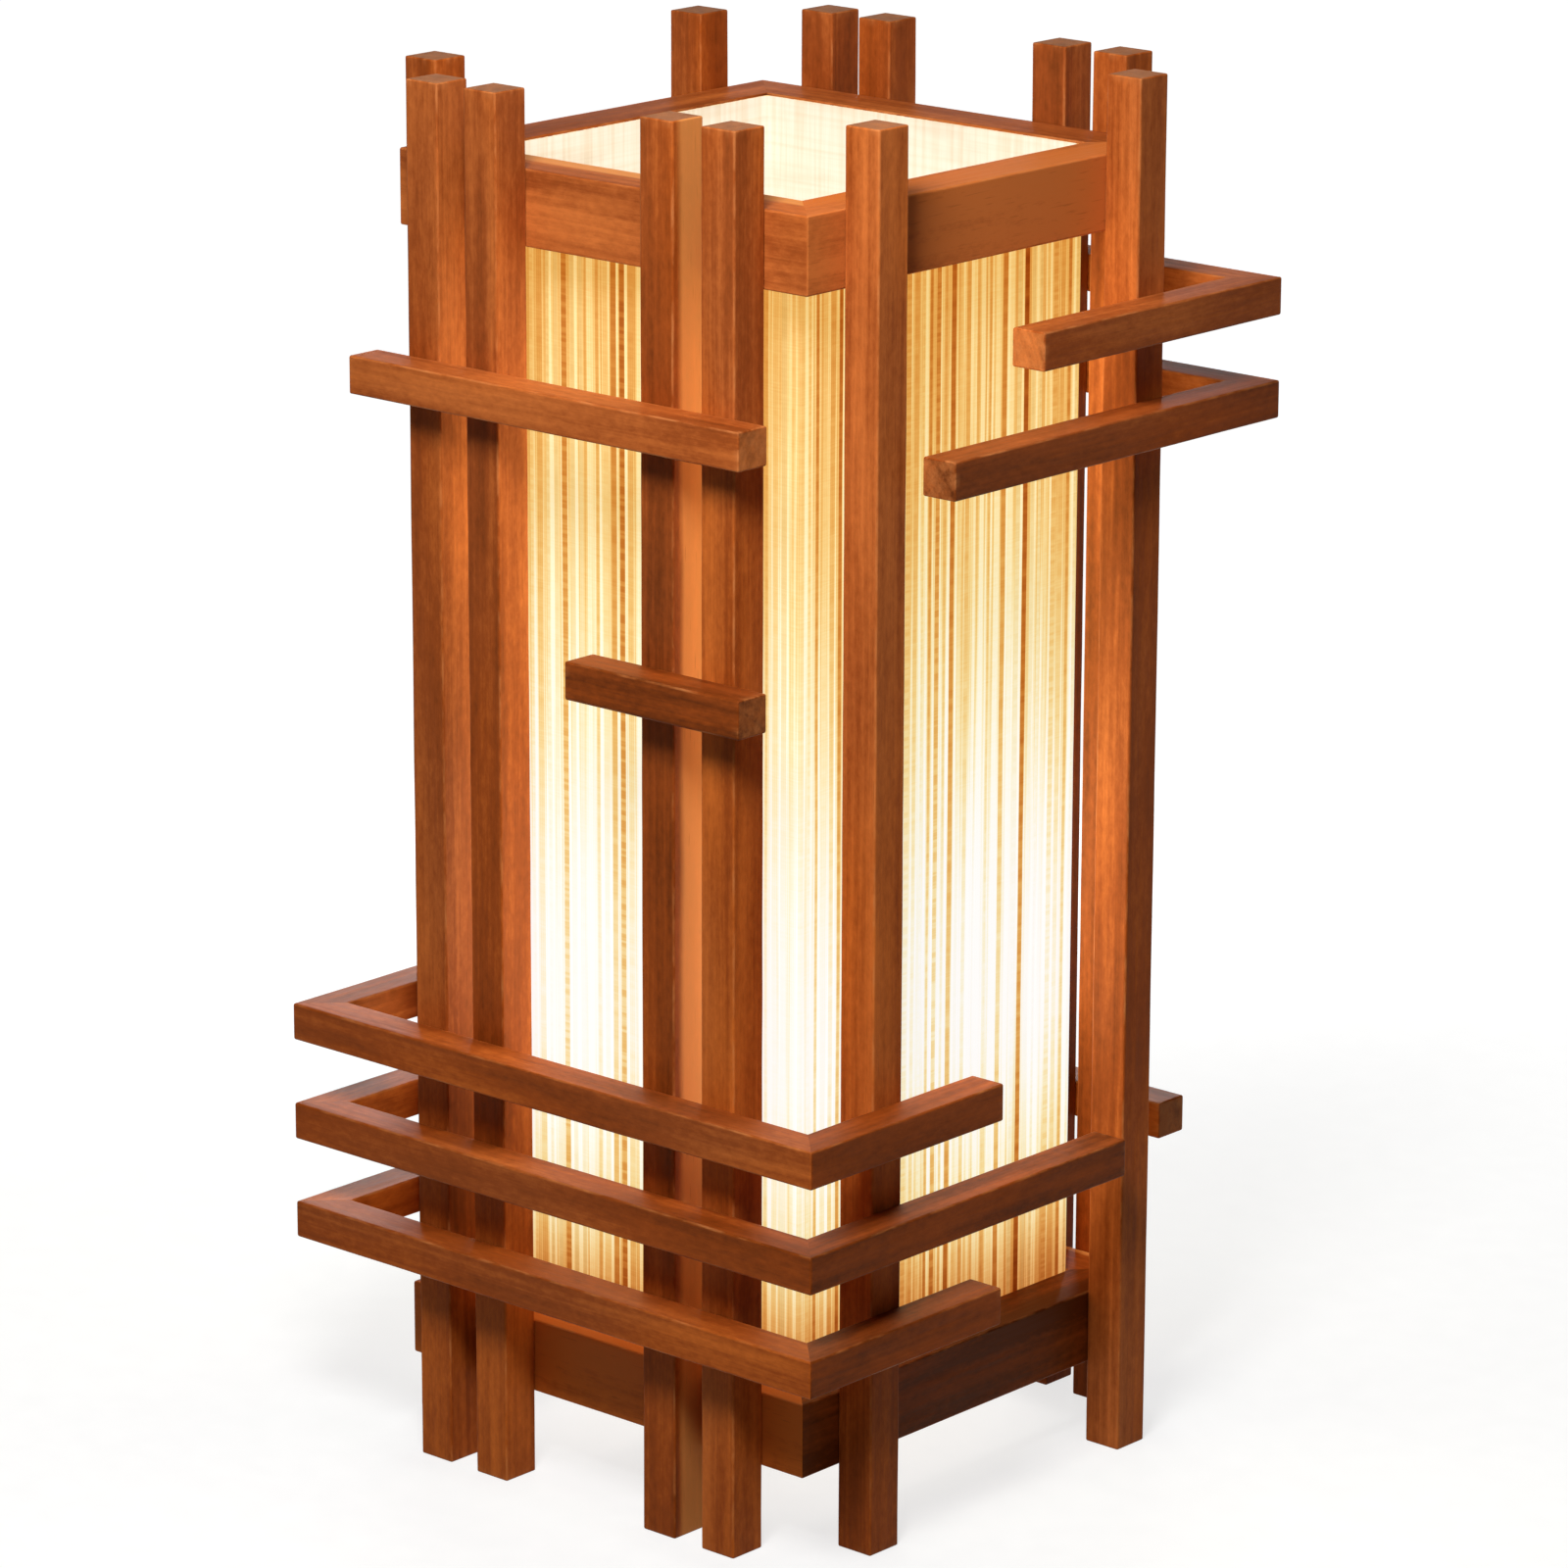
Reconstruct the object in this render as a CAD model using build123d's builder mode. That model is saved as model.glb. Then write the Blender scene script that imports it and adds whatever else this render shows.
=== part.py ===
from build123d import *
import math
import os

os.makedirs("parts", exist_ok=True)

# ---------------------------------------------------------------- driving dimensions (mm)

# Frames: the two mitred squares that the posts stand around
frame_width = 250.0
frame_board_thickness = 27.0
upper_frame_height = 36.0
lower_frame_height = 36.0
lower_frame_lift = 40.0

# Posts, which are also the legs
post_side = 20.0
post_length = 664.0
post_rise = 37.0
corner_to_post = 34.5
pair_pitch = 36.5

# Bars on the outside of the posts
bar_depth = 19.0
bar_height = 18.0
front_high_bar_top = 536.5
front_bar_end_inset = 5.0
front_short_bar_top = 415.5
front_short_bar_length = 105.0
low_bar_top = 117.5
low_bar_pitch = 49.5
low_bar_short_arm = 133.0
low_bar_long_arm = 223.0
lower_corner_bar_top = 514.0
corner_bar_pitch = 49.0
upper_corner_bar_arm = 173.0
lower_corner_bar_arm = 234.0
corner_bar_rear_arm = 133.0
rear_low_bar_top = 152.5
rear_low_bar_length = 100.0
rear_low_bar_end_inset = 9.5

# Timber finish
arris = 1.5
end_arris = 1.0
glue_line = 0.1

# Loose tenons between posts and frames
tenon_width = 6.0
tenon_height = 15.0
tenon_depth_in_post = 12.0
tenon_depth_in_frame = 18.0
tenon_end_room = 1.0
tenon_fit = 0.05

# Shade: striped fabric bonded to a translucent sheet
fabric_thickness = 0.5
liner_thickness = 0.6
shade_top_setback = 1.0
seat_gap = 0.3

# Base rail, its cleats and screws
cleat_setback = 1.0
cleat_thickness = 10.0
cleat_width = 15.0
rail_thickness = 12.0
rail_width = 60.0
screw_spacing = 36.0
screw_diameter = 3.5
screw_head_diameter = 7.0
screw_length = 18.0
screw_countersink_angle = 90.0
fastener_fit = 0.1

# Stem: a hollow threaded tube with its nuts and washers
stem_diameter = 10.0
stem_bore = 7.0
stem_height = 60.0
stem_tail = 8.0
nut_across_flats = 14.0
nut_thickness = 5.0
washer_diameter = 20.0
washer_thickness = 1.0

# E27 lampholder
holder_diameter = 39.0
holder_wall = 2.0
holder_neck_diameter = 18.0
holder_neck_height = 9.0
holder_base_height = 26.0
holder_height = 56.0
holder_spigot_height = 4.0
holder_mouth_diameter = 29.4
holder_lip_height = 3.0
holder_shoulder_height = 18.0
insert_thickness = 9.0
shell_diameter = 28.6
shell_wall = 0.4
shell_height = 21.0
contact_diameter = 10.0
contact_thickness = 1.0

# E27 bulb with a pear-shaped envelope
bulb_length = 107.0
bulb_diameter = 60.0
bulb_glass_wall = 1.0
bulb_flare_angle = 28.0
bulb_waist_radius = 30.0
bulb_neck_seat = 6.0
cap_diameter = 26.3
cap_height = 22.0
cap_wall = 0.4
cap_foot_diameter = 21.0
cap_foot_height = 2.5
insulator_height = 3.5
tip_diameter = 9.6
tip_height = 1.5

# ---------------------------------------------------------------- derived places (mm)

frame_outer = frame_width / 2
frame_inner = frame_outer - frame_board_thickness
lower_frame_top = lower_frame_lift + lower_frame_height
upper_frame_top = post_length - post_rise
upper_frame_low = upper_frame_top - upper_frame_height

post_inner = frame_outer + glue_line
post_outer = post_inner + post_side
bar_inner = post_outer + glue_line
bar_outer = bar_inner + bar_depth

end_post = frame_outer - corner_to_post
pair_post = end_post - pair_pitch

fabric_outer = frame_inner - glue_line
fabric_inner = fabric_outer - fabric_thickness
liner_outer = fabric_inner - glue_line
liner_inner = liner_outer - liner_thickness

cleat_low = lower_frame_lift + cleat_setback
rail_low = cleat_low + cleat_thickness
rail_top = rail_low + rail_thickness
shade_low = rail_top + seat_gap
shade_top = upper_frame_top - shade_top_setback

holder_low = rail_top + stem_height
insert_low = holder_low + holder_shoulder_height
insert_top = insert_low + insert_thickness
contact_low = insert_top + glue_line
bulb_low = contact_low + contact_thickness + seat_gap

# Each side's direction from its left end to its right end, seen from outside
along = {
    "front": Vector(1, 0, 0),
    "right": Vector(0, 1, 0),
    "rear": Vector(-1, 0, 0),
    "left": Vector(0, -1, 0),
}
up = Vector(0, 0, 1)
standing = (Align.CENTER, Align.CENTER, Align.MIN)

# Post centres along each side
posts = {
    "front": [-end_post, -pair_post, pair_post, end_post],
    "right": [-end_post, end_post],
    "rear": [-end_post, -pair_post, pair_post, end_post],
    "left": [-end_post, end_post],
}


def outward(side):
    """The side's outward direction."""
    return along[side].cross(up)


def section_plane(side, distance):
    """A plane across the side's length: its own X is up and its Y is outward."""
    return Plane(origin=along[side] * distance, x_dir=up, z_dir=along[side])


def face_plane(side, distance):
    """A plane along the side: its own X runs left to right and its Y is up."""
    return Plane(origin=outward(side) * distance, x_dir=along[side], z_dir=outward(side))


def plan_plane(side, height):
    """A level plane turned to the side: its own X runs left to right and its -Y is outward."""
    return Plane(origin=up * height, x_dir=along[side], z_dir=up)


def axial_plane(height):
    """The plane of a turned piece's half profile: its own X is the radius and its Y is up."""
    return Plane(origin=up * height, x_dir=(1, 0, 0), z_dir=(0, -1, 0))


def save(builder, name):
    """Label the finished piece and write it."""
    builder.part.label = name
    export_step(builder.part, f"parts/{name}.step")


def along_axis(side):
    """The axis through the lamp's centre in the side's direction."""
    return Axis((0, 0, 0), along[side])


def cut_mitre(side, end):
    """Cut the piece at 45 degrees in plan at its left end (-1) or right end (1)."""
    away = (along[side] * end - outward(side)).normalized()
    split(bisect_by=Plane(origin=away * (-glue_line / 2), z_dir=away), keep=Keep.BOTTOM)


def cut_square(side, end, place):
    """Cut the piece square across at a place along its side, keeping what lies inside it."""
    split(bisect_by=Plane(origin=along[side] * place, z_dir=along[side] * end), keep=Keep.BOTTOM)


def square_ring(inner, outer, low, high):
    """A closed square of timber with eased edges, from which mitred pieces are cut."""
    with BuildPart() as ring:
        with BuildSketch(Plane.XY.offset(low)):
            outline = Rectangle(2 * outer, 2 * outer)
            chamfer(outline.vertices(), length=arris)
            Rectangle(2 * inner, 2 * inner, mode=Mode.SUBTRACT)
        extrude(amount=high - low)
        chamfer(ring.faces().filter_by(Axis.Z).edges(), length=arris)
    return ring.part


def mitred_piece(name, ring, side, left=None, right=None, mortise_face=None, mortise_height=None):
    """One side of a ring. An end that is None is mitred into the corner, the other is cut square."""
    with BuildPart() as piece:
        add(ring)
        for end, place in ((-1, left), (1, right)):
            if place is None:
                cut_mitre(side, end)
            else:
                cut_square(side, end, place)
                end_faces = piece.faces().filter_by(along_axis(side))
                chamfer(end_faces.sort_by(along_axis(side))[0 if end < 0 else -1].edges(), length=end_arris)
        if mortise_face is not None:
            with BuildSketch(face_plane(side, mortise_face)):
                with Locations(*[(place, mortise_height) for place in posts[side]]):
                    Rectangle(tenon_width + 2 * tenon_fit, tenon_height + 2 * tenon_fit)
            extrude(amount=-tenon_depth_in_frame, mode=Mode.SUBTRACT)
    save(piece, name)


def straight_bar(name, side, left, right, top):
    """A bar cut square at both ends, on the outside of the posts."""
    with BuildPart() as bar:
        with BuildSketch(section_plane(side, left)):
            with Locations((top - bar_height / 2, (bar_inner + bar_outer) / 2)):
                outline = Rectangle(bar_height, bar_depth)
            chamfer(outline.vertices(), length=arris)
        extrude(amount=right - left)
        chamfer(bar.faces().filter_by(along_axis(side)).edges(), length=end_arris)
    save(bar, name)


# ---------------------------------------------------------------- upper and lower frames

frame_levels = {
    "lower_frame": (lower_frame_lift, lower_frame_top),
    "upper_frame": (upper_frame_low, upper_frame_top),
}
joint_heights = [(low + top) / 2 for low, top in frame_levels.values()]

for (name, (low, top)), joint_height in zip(frame_levels.items(), joint_heights):
    frame_ring = square_ring(frame_inner, frame_outer, low, top)
    for side in along:
        mitred_piece(f"{name}_{side}", frame_ring, side,
                     mortise_face=frame_outer, mortise_height=joint_height)

# ---------------------------------------------------------------- posts

for side in along:
    for number, place in enumerate(posts[side], start=1):
        with BuildPart() as post:
            with BuildSketch(plan_plane(side, 0)):
                with Locations((place, -(post_inner + post_outer) / 2)):
                    outline = Rectangle(post_side, post_side)
                chamfer(outline.vertices(), length=arris)
            extrude(amount=post_length)
            chamfer(post.faces().filter_by(Axis.Z).edges(), length=end_arris)
            with BuildSketch(face_plane(side, post_inner)):
                with Locations(*[(place, height) for height in joint_heights]):
                    Rectangle(tenon_width + 2 * tenon_fit, tenon_height + 2 * tenon_fit)
            extrude(amount=tenon_depth_in_post, mode=Mode.SUBTRACT)
        save(post, f"{side}_post_{number}")

# ---------------------------------------------------------------- loose tenons

with BuildPart() as loose_tenons:
    for side in along:
        with BuildSketch(face_plane(side, frame_outer - tenon_depth_in_frame + tenon_end_room)):
            with Locations(*[(place, height) for place in posts[side] for height in joint_heights]):
                Rectangle(tenon_width, tenon_height)
        extrude(amount=tenon_depth_in_frame + glue_line + tenon_depth_in_post - 2 * tenon_end_room)
save(loose_tenons, "loose_tenons")

# ---------------------------------------------------------------- straight bars

front_bar_end = frame_outer - front_bar_end_inset
straight_bar("front_high_bar", "front", -front_bar_end, front_bar_end, front_high_bar_top)
straight_bar("front_short_bar", "front", front_bar_end - front_short_bar_length, front_bar_end,
             front_short_bar_top)

rear_bar_start = -frame_outer + rear_low_bar_end_inset
straight_bar("rear_low_bar", "rear", rear_bar_start, rear_bar_start + rear_low_bar_length, rear_low_bar_top)

# ---------------------------------------------------------------- low bars round three sides

low_bar_arms = {"bottom": low_bar_short_arm, "middle": low_bar_long_arm, "top": low_bar_short_arm}

for level, (name, arm) in enumerate(low_bar_arms.items()):
    top = low_bar_top + level * low_bar_pitch
    bar_ring = square_ring(bar_inner, bar_outer, top - bar_height, top)
    mitred_piece(f"low_bar_{name}_left_arm", bar_ring, "left", left=bar_outer - arm)
    mitred_piece(f"low_bar_{name}_front", bar_ring, "front")
    mitred_piece(f"low_bar_{name}_right_arm", bar_ring, "right", right=arm - bar_outer)

# ---------------------------------------------------------------- high bars round the rear right corner

corner_bar_arms = {"lower": lower_corner_bar_arm, "upper": upper_corner_bar_arm}

for level, (name, arm) in enumerate(corner_bar_arms.items()):
    top = lower_corner_bar_top + level * corner_bar_pitch
    bar_ring = square_ring(bar_inner, bar_outer, top - bar_height, top)
    mitred_piece(f"corner_bar_{name}_right_arm", bar_ring, "right", left=bar_outer - arm)
    mitred_piece(f"corner_bar_{name}_rear_arm", bar_ring, "rear", right=corner_bar_rear_arm - bar_outer)

# ---------------------------------------------------------------- shade

shade_layers = {"shade_fabric": (fabric_inner, fabric_outer), "shade_liner": (liner_inner, liner_outer)}

for layer, (inner, outer) in shade_layers.items():
    for side in along:
        with BuildPart() as panel:
            with BuildSketch(section_plane(side, -outer)):
                with Locations(((shade_low + shade_top) / 2, (inner + outer) / 2)):
                    Rectangle(shade_top - shade_low, outer - inner)
            extrude(amount=2 * outer)
            cut_mitre(side, -1)
            cut_mitre(side, 1)
        save(panel, f"{layer}_{side}")

# ---------------------------------------------------------------- base rail, cleats and screws

cleat_outer = frame_inner - glue_line
screw_row = cleat_outer - cleat_width / 2
screw_places = [(x, y) for x in (-screw_spacing / 2, screw_spacing / 2) for y in (-screw_row, screw_row)]
screw_low = rail_top - screw_length

with BuildPart() as base_rail:
    with BuildSketch(Plane.XY.offset(rail_low)):
        Rectangle(rail_width, 2 * cleat_outer)
        Circle(stem_diameter / 2 + fastener_fit, mode=Mode.SUBTRACT)
    extrude(amount=rail_thickness)
    chamfer(base_rail.edges().filter_by(Axis.Y), length=end_arris)
    with Locations(*[(x, y, rail_top) for x, y in screw_places]):
        CounterSinkHole(screw_diameter / 2 + fastener_fit, screw_head_diameter / 2 + fastener_fit,
                        depth=rail_thickness, counter_sink_angle=screw_countersink_angle)
save(base_rail, "base_rail")

with BuildPart() as rail_cleats:
    with BuildSketch(Plane.XY.offset(cleat_low)):
        with Locations((0, -screw_row), (0, screw_row)):
            Rectangle(rail_width, cleat_width)
    extrude(amount=cleat_thickness - glue_line)
    with BuildSketch(Plane.XY.offset(rail_low - glue_line)):
        with Locations(*screw_places):
            Circle(screw_diameter / 2 + fastener_fit)
    extrude(amount=-(rail_low - screw_low), mode=Mode.SUBTRACT)
save(rail_cleats, "rail_cleats")

head_depth = (screw_head_diameter - screw_diameter) / 2
with BuildPart() as rail_screws:
    for x, y in screw_places:
        with Locations((x, y, screw_low)):
            Cylinder(screw_diameter / 2, screw_length - head_depth, align=standing)
        with Locations((x, y, rail_top - head_depth)):
            Cone(screw_diameter / 2, screw_head_diameter / 2, head_depth, align=standing)
save(rail_screws, "rail_screws")

# ---------------------------------------------------------------- stem

with BuildPart() as stem_tube:
    with BuildSketch(Plane.XY.offset(rail_low - stem_tail)):
        Circle(stem_diameter / 2)
        Circle(stem_bore / 2, mode=Mode.SUBTRACT)
    extrude(amount=stem_tail + rail_thickness + stem_height + holder_neck_height)
save(stem_tube, "stem_tube")

washer_lows = [rail_low - glue_line - washer_thickness, rail_top + glue_line]
nut_lows = [washer_lows[0] - glue_line - nut_thickness, washer_lows[1] + washer_thickness + glue_line]

with BuildPart() as stem_washers:
    for low in washer_lows:
        with BuildSketch(Plane.XY.offset(low)):
            Circle(washer_diameter / 2)
            Circle(stem_diameter / 2 + fastener_fit, mode=Mode.SUBTRACT)
        extrude(amount=washer_thickness)
save(stem_washers, "stem_washers")

with BuildPart() as stem_nuts:
    for low in nut_lows:
        with BuildSketch(Plane.XY.offset(low)):
            RegularPolygon(nut_across_flats / 2, 6, major_radius=False)
            Circle(stem_diameter / 2 + fastener_fit, mode=Mode.SUBTRACT)
        extrude(amount=nut_thickness)
save(stem_nuts, "stem_nuts")

# ---------------------------------------------------------------- lampholder

holder_radius = holder_diameter / 2
holder_bore = holder_radius - holder_wall
neck_radius = holder_neck_diameter / 2
stem_hole = stem_diameter / 2 + fastener_fit
spigot_radius = holder_radius - holder_wall / 2
spigot_low = holder_base_height - holder_spigot_height

with BuildPart() as lampholder_base:
    with BuildSketch(axial_plane(holder_low)):
        with BuildLine():
            Polyline(
                (holder_radius, holder_shoulder_height),
                (holder_radius, spigot_low),
                (spigot_radius, spigot_low),
                (spigot_radius, holder_base_height),
                (holder_bore, holder_base_height),
                (holder_bore, holder_shoulder_height),
                (stem_hole, holder_neck_height),
                (stem_hole, 0),
                (neck_radius, 0),
                (neck_radius, holder_wall),
                close=True,
            )
        make_face()
    revolve(axis=Axis.Z)
save(lampholder_base, "lampholder_base")

sleeve_seat = holder_base_height + glue_line
sleeve_low = spigot_low + glue_line
socket_radius = spigot_radius + fastener_fit
mouth_radius = holder_mouth_diameter / 2
lip_low = holder_height - holder_lip_height

with BuildPart() as lampholder_sleeve:
    with BuildSketch(axial_plane(holder_low)):
        with BuildLine():
            Polyline(
                (socket_radius, sleeve_low),
                (holder_radius, sleeve_low),
                (holder_radius, lip_low),
                (spigot_radius, holder_height),
                (mouth_radius, holder_height),
                (mouth_radius, lip_low),
                (holder_bore, lip_low - holder_wall),
                (holder_bore, sleeve_seat),
                (socket_radius, sleeve_seat),
                close=True,
            )
        make_face()
    revolve(axis=Axis.Z)
save(lampholder_sleeve, "lampholder_sleeve")

with BuildPart() as lampholder_insert:
    with BuildSketch(Plane.XY.offset(insert_low)):
        Circle(holder_bore - fastener_fit)
    extrude(amount=insert_thickness)
save(lampholder_insert, "lampholder_insert")

with BuildPart() as lampholder_screw_shell:
    with BuildSketch(Plane.XY.offset(contact_low)):
        Circle(shell_diameter / 2)
        Circle(shell_diameter / 2 - shell_wall, mode=Mode.SUBTRACT)
    extrude(amount=shell_height)
save(lampholder_screw_shell, "lampholder_screw_shell")

with BuildPart() as lampholder_contact:
    with BuildSketch(Plane.XY.offset(contact_low)):
        Circle(contact_diameter / 2)
    extrude(amount=contact_thickness)
save(lampholder_contact, "lampholder_contact")

# ---------------------------------------------------------------- bulb

tip_radius = tip_diameter / 2
cap_radius = cap_diameter / 2
cap_foot_radius = cap_foot_diameter / 2
insulator_top = tip_height + insulator_height
cap_top = insulator_top + cap_height
glass_neck_radius = cap_radius - cap_wall - fastener_fit
globe_radius = bulb_diameter / 2
globe_height = bulb_length - globe_radius


def envelope(inset, low):
    """The half profile of the bulb's envelope, drawn in from the outer glass by the inset."""
    flare = math.radians(bulb_flare_angle)
    radius = globe_radius - inset
    neck = glass_neck_radius - inset
    crown = (0, globe_height + radius)
    flank = (radius * math.cos(flare), globe_height - radius * math.sin(flare))
    waist = (neck, flank[1] - (flank[0] - neck) / math.tan(flare))
    with BuildSketch(axial_plane(bulb_low)) as profile:
        with BuildLine():
            RadiusArc(crown, flank, radius)
            Polyline(flank, waist, (neck, low), (0, low), crown)
        make_face()
        fillet(profile.vertices().sort_by_distance(waist)[0], radius=bulb_waist_radius + inset)
    return profile.sketch


with BuildPart() as bulb_glass:
    revolve(envelope(0, cap_top - bulb_neck_seat), axis=Axis.Z)
    revolve(envelope(bulb_glass_wall, cap_top - bulb_neck_seat - bulb_glass_wall), axis=Axis.Z,
            mode=Mode.SUBTRACT)
save(bulb_glass, "bulb_glass")

with BuildPart() as bulb_cap:
    with BuildSketch(axial_plane(bulb_low)):
        with BuildLine():
            Polyline(
                (cap_foot_radius, insulator_top),
                (cap_radius, insulator_top + cap_foot_height),
                (cap_radius, cap_top),
                (cap_radius - cap_wall, cap_top),
                (cap_radius - cap_wall, insulator_top + cap_foot_height),
                (cap_foot_radius - cap_wall, insulator_top),
                close=True,
            )
        make_face()
    revolve(axis=Axis.Z)
save(bulb_cap, "bulb_cap")

with BuildPart() as bulb_insulator:
    with BuildSketch(Plane.XY.offset(bulb_low + tip_height)):
        Circle(tip_radius)
    with BuildSketch(Plane.XY.offset(bulb_low + insulator_top)):
        Circle(cap_foot_radius - cap_wall)
    loft()
save(bulb_insulator, "bulb_insulator")

with BuildPart() as bulb_tip:
    with BuildSketch(Plane.XY.offset(bulb_low)):
        Circle(tip_radius)
    extrude(amount=tip_height)
    chamfer(bulb_tip.faces().sort_by(Axis.Z)[0].edges(), length=tip_height / 2)
save(bulb_tip, "bulb_tip")
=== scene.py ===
"""Looks of the lantern floor lamp: stained timber, glowing striped shade, lampholder and bulb.

Metres throughout.
"""

import itertools
import math
import random

import bmesh
import bpy
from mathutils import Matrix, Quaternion, Vector, noise

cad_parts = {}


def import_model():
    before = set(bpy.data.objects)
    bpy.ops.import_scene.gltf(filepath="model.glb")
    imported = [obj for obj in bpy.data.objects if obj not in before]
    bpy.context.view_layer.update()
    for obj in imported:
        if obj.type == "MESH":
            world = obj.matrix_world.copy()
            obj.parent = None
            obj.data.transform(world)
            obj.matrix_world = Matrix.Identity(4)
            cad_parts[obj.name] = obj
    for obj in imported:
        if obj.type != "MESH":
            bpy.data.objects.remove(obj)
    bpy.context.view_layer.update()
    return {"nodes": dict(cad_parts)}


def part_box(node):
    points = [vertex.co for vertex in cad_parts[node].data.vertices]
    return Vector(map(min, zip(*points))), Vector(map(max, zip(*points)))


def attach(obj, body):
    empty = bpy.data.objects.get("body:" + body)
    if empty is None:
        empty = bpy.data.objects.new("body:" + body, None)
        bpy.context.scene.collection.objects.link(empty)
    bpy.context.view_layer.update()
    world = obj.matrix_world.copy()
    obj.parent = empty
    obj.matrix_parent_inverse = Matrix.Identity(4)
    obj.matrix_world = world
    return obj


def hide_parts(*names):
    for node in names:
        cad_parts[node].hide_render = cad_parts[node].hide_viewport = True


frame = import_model()
nodes = frame["nodes"]

MM = 0.001

# -------- small helpers


def linear(red, green, blue):
    """An sRGB colour, 0 to 255, as a linear RGBA tuple."""
    def channel(value):
        value /= 255
        return value / 12.92 if value <= 0.04045 else ((value + 0.055) / 1.055) ** 2.4

    return channel(red), channel(green), channel(blue), 1.0


class Shader:
    """The node tree of a new material, or of a world, written as function calls."""

    def __init__(self, name, kind="materials", surface="Principled BSDF"):
        self.made = getattr(bpy.data, kind).new(name)
        self.made.use_nodes = True
        self.tree = self.made.node_tree
        self.surface = self.tree.nodes[surface]

    def put(self, socket, value):
        """Link a node's output to a socket, or set the socket's own value."""
        if isinstance(value, bpy.types.NodeSocket):
            self.tree.links.new(value, socket)
        else:
            socket.default_value = value

    def node(self, kind, inputs=(), **settings):
        made = self.tree.nodes.new(kind)
        for key, value in settings.items():
            setattr(made, key, value)
        for key, value in dict(inputs).items():
            self.put(made.inputs[key], value)
        return made

    def set(self, **values):
        """Inputs of the surface shader, with underscores for the spaces of their names."""
        for key, value in values.items():
            self.put(self.surface.inputs[key.replace("_", " ")], value)

    def attribute(self, name):
        return self.node("ShaderNodeAttribute", attribute_name=name)

    def math(self, operation, first, second=0.0, third=0.0):
        return self.node("ShaderNodeMath", {0: first, 1: second, 2: third}, operation=operation).outputs[0]

    def plus(self, first, second):
        return self.math("ADD", first, second)

    def minus(self, first, second):
        return self.math("SUBTRACT", first, second)

    def times(self, first, second):
        return self.math("MULTIPLY", first, second)

    def times_plus(self, first, second, third):
        return self.math("MULTIPLY_ADD", first, second, third)

    def scaled(self, vector, x, y, z):
        """The vector with each axis multiplied."""
        return self.node("ShaderNodeVectorMath", {0: vector, 1: (x, y, z)}, operation="MULTIPLY").outputs[0]

    def moved(self, vector, amount):
        return self.node("ShaderNodeVectorMath", {0: vector, 1: amount}, operation="ADD").outputs[0]

    def split(self, vector):
        return self.node("ShaderNodeSeparateXYZ", {0: vector}).outputs

    def join(self, x=0.0, y=0.0, z=0.0):
        return self.node("ShaderNodeCombineXYZ", {0: x, 1: y, 2: z}).outputs[0]

    def noise(self, vector, scale=1.0, detail=2.0, roughness=0.5, distortion=0.0):
        return self.node("ShaderNodeTexNoise", {
            "Vector": vector, "Scale": scale, "Detail": detail, "Roughness": roughness,
            "Distortion": distortion,
        }).outputs["Fac"]

    def plane_noise(self, first, second, scales, **settings):
        """Noise over a plane of two coordinates, each with its own scale."""
        place = self.join(self.times(first, scales[0]), self.times(second, scales[1]))
        return self.noise(place, **settings)

    def centred(self, value):
        """A value from 0 to 1, such as a noise, moved to lie round 0."""
        return self.minus(value, 0.5)

    def spread(self, value, old, new=(0.0, 1.0), smooth=False):
        """A value mapped from one range to another, held at its ends."""
        return self.node("ShaderNodeMapRange", {
            "Value": value, "From Min": old[0], "From Max": old[1], "To Min": new[0], "To Max": new[1],
        }, interpolation_type="SMOOTHSTEP" if smooth else "LINEAR").outputs[0]

    def ramp(self, value, *stops, interpolation="LINEAR"):
        """A colour ramp of (place, colour) stops."""
        made = self.node("ShaderNodeValToRGB", {"Fac": value})
        made.color_ramp.interpolation = interpolation
        elements = made.color_ramp.elements
        while len(elements) < len(stops):
            elements.new(0.5)
        for element, (place, colour) in zip(elements, stops):
            element.position = place
            element.color = colour
        return made.outputs["Color"]

    def mix(self, amount, first, second, blend="MIX"):
        """Two colours mixed. A Mix node's colour sockets are its inputs 6 and 7 and its output 2."""
        return self.node("ShaderNodeMix", {0: amount, 6: first, 7: second}, data_type="RGBA",
                         blend_type=blend).outputs[2]

    def bump(self, height, strength, distance):
        made = self.node("ShaderNodeBump", {"Height": height, "Strength": strength, "Distance": distance})
        self.set(Normal=made.outputs[0])


def placed(name, data):
    """A new object, linked to the scene."""
    made = bpy.data.objects.new(name, data)
    bpy.context.scene.collection.objects.link(made)
    return made


def bridge(mesh, loops, inward=False):
    """Faces from each closed loop of vertices to the next."""
    for before, after in zip(loops, loops[1:]):
        for index in range(len(before)):
            following = (index + 1) % len(before)
            corners = (before[index], before[following], after[following], after[index])
            mesh.faces.new(corners[::-1] if inward else corners)


def finished(name, mesh, *materials, weld=0.0, crease=None):
    """A new object of a bmesh, shaded smooth but for edges sharper than the crease, in degrees.

    Points within the weld are joined.
    """
    if weld:
        bmesh.ops.remove_doubles(mesh, verts=mesh.verts, dist=weld)
        bmesh.ops.recalc_face_normals(mesh, faces=mesh.faces)
    data = bpy.data.meshes.new(name)
    mesh.to_mesh(data)
    mesh.free()
    data.shade_smooth()
    if crease is not None:
        data.set_sharp_from_angle(angle=math.radians(crease))
    for material in materials:
        data.materials.append(material)
    return placed(name, data)


def paint(node, material):
    """Give a carried-over CAD node a better material."""
    slots = nodes[node].data.materials
    slots.clear()
    slots.append(material)


# -------- wood

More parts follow.
